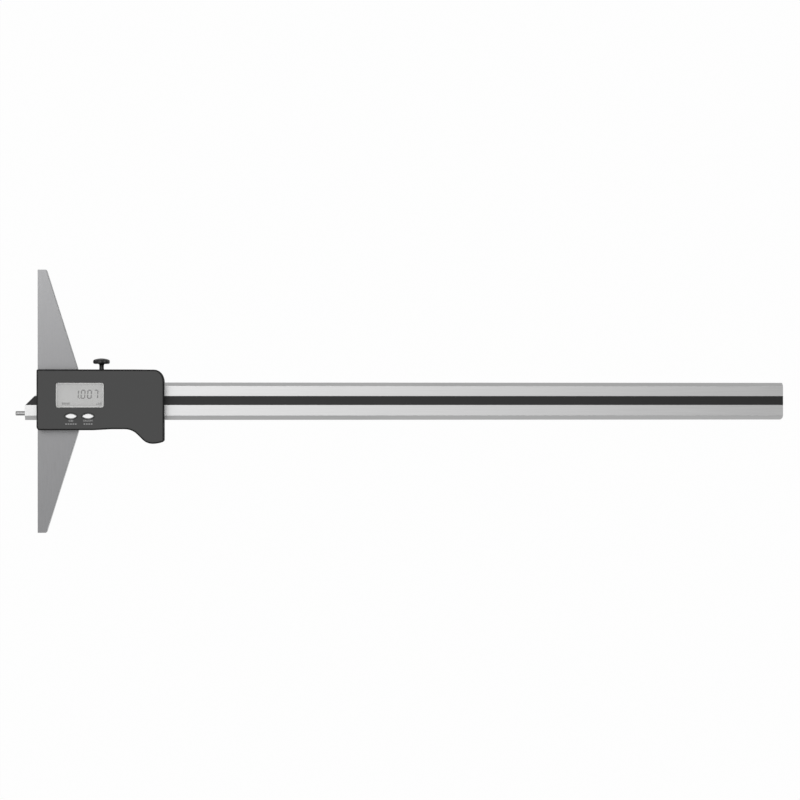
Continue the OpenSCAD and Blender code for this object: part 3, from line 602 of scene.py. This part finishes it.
def screws(name, node, body, round_heads=False):
    """Screws at the places of a CAD node's solids, with their heads towards the back."""
    shape = bmesh.new()
    for low, high in islands(node):
        head = (high.x - low.x) / 2
        shank = head / HEAD
        length = high.z - low.z
        if round_heads:
            rings = [(0.7 * head, 0), (0.9 * head, -0.06 * head), (head, -0.2 * head),
                     (head, -0.8 * shank), (shank, -0.8 * shank), (shank, -length)]
        else:
            rings = [(0.95 * head, 0), (head, -0.04 * head), (shank, shank - head),
                     (shank, -length)]
        screw(shape, rings, CROSS * head, CROSS_DEPTH * head,
              ((low.x + high.x) / 2, (low.y + high.y) / 2, low.z))
    bmesh.ops.recalc_face_normals(shape, faces=shape.faces)
    worn = shape.faces.layers.float.new("worn")
    for face in shape.faces:
        face[worn] = 0.5
    piece(name, shape, "screw_steel", body, node)


screws("base_screw_set", "base_screws", "slider")
screws("case_screw_set", "case_screws", "slider")
screws("stop_screw_set", "stop_screws", "beam", round_heads=True)

# %% [markdown]
# ## Display
#
# The window pane is clear. Under it a pale sloped rim frames the glass: its pale colour is a
# painted highlight for the light that the pane's edge catches, and the lamps light its lower and
# right slopes more. It starts as one rectangle that is given round corners and inset, and its
# opening is lowered to the glass.

# %% Pane and rim
pane_low, pane_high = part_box("window_pane")
PANE_FLANGE = 0.9 * MM                       # the pane's rim behind the front wall
PANE_EDGE = 0.2                              # millimetres
WINDOW_CORNER = 1.15 * MM
RIM_WIDTH = 0.6 * MM
RIM_GAP = 0.01 * MM                          # between the rim and the pane
glass_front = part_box("lcd_panel")[1].z
pane = soften(merged("window_pane"), PANE_EDGE, at_level(pane_high.z))
piece("clear_pane", pane, "pane", "slider", "window_pane")

window_low = pane_low.xy + Vector((PANE_FLANGE, PANE_FLANGE))
window_high = pane_high.xy - Vector((PANE_FLANGE, PANE_FLANGE))
window_middle = (window_low + window_high) / 2
window_size = window_high - window_low
rim_shape = bmesh.new()
bmesh.ops.create_grid(rim_shape, x_segments=1, y_segments=1, size=0.5)
bmesh.ops.transform(rim_shape, verts=rim_shape.verts,
                    matrix=Matrix.Translation((*window_middle, pane_low.z - RIM_GAP))
                    @ Matrix.Diagonal((*window_size, 1, 1)))
bmesh.ops.bevel(rim_shape, geom=rim_shape.verts, offset=WINDOW_CORNER, affect="VERTICES",
                segments=5, profile=0.5, material=-1)
inner = bmesh.ops.inset_region(rim_shape, faces=rim_shape.faces, thickness=RIM_WIDTH,
                               depth=0.0, use_boundary=True, use_even_offset=True)
opening = [f for f in rim_shape.faces if f not in inner["faces"]]
bmesh.ops.translate(rim_shape, verts=opening[0].verts,
                    vec=(0, 0, glass_front + 2 * RIM_GAP - pane_low.z))
bmesh.ops.delete(rim_shape, geom=opening, context="FACES_ONLY")
piece("display_rim", rim_shape, "rim", "slider")

# %% [markdown]
# A digit has up to seven bars, and each lights by itself. A circle of six points is a hexagon;
# its upper and lower halves are pulled apart to make one bar, and a turn lays it flat. The bars
# of all digits share one shape, which is leant over and given a thickness of 0.02 mm at the end.

# %% Digits
def bar(shape, x, y, length, width, flat=False):
    """A six-sided bar with pointed ends around a point, in millimetres."""
    radius = width / math.sqrt(3) * MM
    made = bmesh.ops.create_circle(shape, cap_ends=True, segments=6, radius=radius)["verts"]
    for vert in made:
        vert.co.y += math.copysign(length / 2 * MM - radius, vert.co.y)
    turn = Matrix.Rotation(math.pi / 2 if flat else 0, 4, "Z")
    bmesh.ops.transform(shape, verts=made, matrix=Matrix.Translation((x * MM, y * MM, 0)) @ turn)


CELL = (2.0, 4.6)                            # width and height between the bars' middles
STROKE = 0.72                                # width of a bar
BAR_GAP = 0.25                               # between the points of neighbouring bars
DIGIT_STEP = 3.62                            # from one figure to the next
POINT = 0.3                                  # radius of the decimal point
LEAN = math.tan(math.radians(4))
BARS = {"0": "abcdef", "1": "bc", "7": "abc"}


def digit(shape, figure, x):
    """Draws one figure around x with the bars that a display lights for it."""
    w, h = CELL
    places = {"a": (0, h / 2, True), "b": (w / 2, h / 4, False), "c": (w / 2, -h / 4, False),
              "d": (0, -h / 2, True), "e": (-w / 2, -h / 4, False), "f": (-w / 2, h / 4, False)}
    for name in BARS[figure]:
        dx, dy, flat = places[name]
        bar(shape, x + dx, dy, (w if flat else h / 2) - BAR_GAP, STROKE, flat)


def laid_on(shape, centre, level, lean=0.0, thickness=0.02):
    """Moves a flat drawing to its place, leaning it to the right, and gives it a thickness."""
    slant = Matrix.Identity(4)
    slant[0][1] = lean
    bmesh.ops.transform(shape, verts=shape.verts,
                        matrix=Matrix.Translation((*centre, level)) @ slant)
    bmesh.ops.recalc_face_normals(shape, faces=shape.faces)
    bmesh.ops.solidify(shape, geom=shape.faces, thickness=-thickness * MM)
    return shape


READING = "1007"
DIGITS_CENTRE = Vector((27.98, 3.93)) * MM   # middle of the four figures on the glass
on_glass = glass_front + 0.005 * MM          # the level that figures and signs lie on
digits = bmesh.new()
for i, figure in enumerate(READING):
    digit(digits, figure, (i - 1.5) * DIGIT_STEP)
point = bmesh.ops.create_circle(digits, cap_ends=True, segments=12, radius=POINT * MM)["verts"]
bmesh.ops.translate(digits, verts=point, vec=(-DIGIT_STEP * MM, -CELL[1] / 2 * MM, 0))
laid_on(digits, DIGITS_CENTRE, on_glass, LEAN)
piece("digits", digits, "segments", "slider")

# %% [markdown]
# Two small signs stand at the display's lower edge: a charge gauge of five bars between two
# lines at the left, and three rising bars at the right.

# %% Display signs
SIGN_ROW = -1.35                             # height of both signs' middle
charge = bmesh.new()
for x in (-1.5, -0.75, 0, 0.75, 1.5):
    bar(charge, x, 0, length=1.3, width=0.45)
for x in (-2.1, 2.1):
    bar(charge, x, 0, length=1.6, width=0.25)
laid_on(charge, Vector((16.5, SIGN_ROW)) * MM, on_glass)
piece("battery_sign", charge, "segments", "slider")

RISING_BARS = ((-1.1, 0.9), (0, 1.3), (1.1, 1.7))     # place and height of each bar
tallest = RISING_BARS[-1][1]
rising = bmesh.new()
for x, height in RISING_BARS:
    bar(rising, x, (height - tallest) / 2, height, width=0.5)
laid_on(rising, Vector((35.1, SIGN_ROW)) * MM, on_glass, LEAN)
piece("level_sign", rising, "segments", "slider")

# %% [markdown]
# ## Legends
#
# Small pad-printed legends stand under the buttons: words over a row of dashes. The button on
# the right switches the gauge, and the one on the left sets it to zero. Text is made a mesh
# before it is laid on the case.

# %% Legends
LETTER = 1.05                                # height of the letters in millimetres
LINE = 0.9                                   # words stand above the legend's middle by this
DASH = 1.0                                   # length of a dash
DASH_WIDTH = 0.5
DASH_STEP = 1.35                             # from one dash to the next
LEGEND_DROP = 3.5                            # from a button's middle to its legend's
INK = 0.01                                   # thickness of the ink
INK_GAP = 0.002 * MM                         # between the ink and the case


def lettering(shape, words, y):
    """Adds words as a flat drawing, centred, with their middle at a height in millimetres."""
    curve = bpy.data.curves.new("words", "FONT")
    curve.body = words
    curve.align_x = "CENTER"
    curve.align_y = "CENTER"
    curve.resolution_u = 3
    text = bpy.data.objects.new("words", curve)
    drawn = bpy.data.meshes.new_from_object(text)
    before = set(shape.verts)
    shape.from_mesh(drawn)
    new = [v for v in shape.verts if v not in before]
    size = max(v.co.y for v in new) - min(v.co.y for v in new)
    bmesh.ops.transform(shape, verts=new, matrix=Matrix.Translation((0, y * MM, 0))
                        @ Matrix.Scale(LETTER * MM / size, 4))
    bpy.data.objects.remove(text)
    bpy.data.curves.remove(curve)
    bpy.data.meshes.remove(drawn)


buttons = {"set": ("0.00", 5), "mode": ("ON/OFF", 4)}
for side, (words, dashes) in buttons.items():
    low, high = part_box(side + "_button")
    middle = (low.xy + high.xy) / 2
    legend = bmesh.new()
    lettering(legend, words, LINE)
    for i in range(dashes):
        bar(legend, (i - (dashes - 1) / 2) * DASH_STEP, -LINE, DASH, DASH_WIDTH, flat=True)
    bmesh.ops.remove_doubles(legend, verts=legend.verts, dist=MERGE)
    laid_on(legend, middle - Vector((0, LEGEND_DROP * MM)), front_level + INK_GAP,
            thickness=INK)
    piece(side + "_legend", legend, "ink", "slider")

# %% [markdown]
# ## The remaining nodes
#
# Every other CAD node keeps its own shape. All nodes get the finish of their slot, also those
# that a piece stands for.

# %% The remaining nodes
for part in frame["record"]["subparts"]:
    for material_slot in nodes[part["node"]].material_slots:
        material_slot.material = finishes[part["material_slot"]]
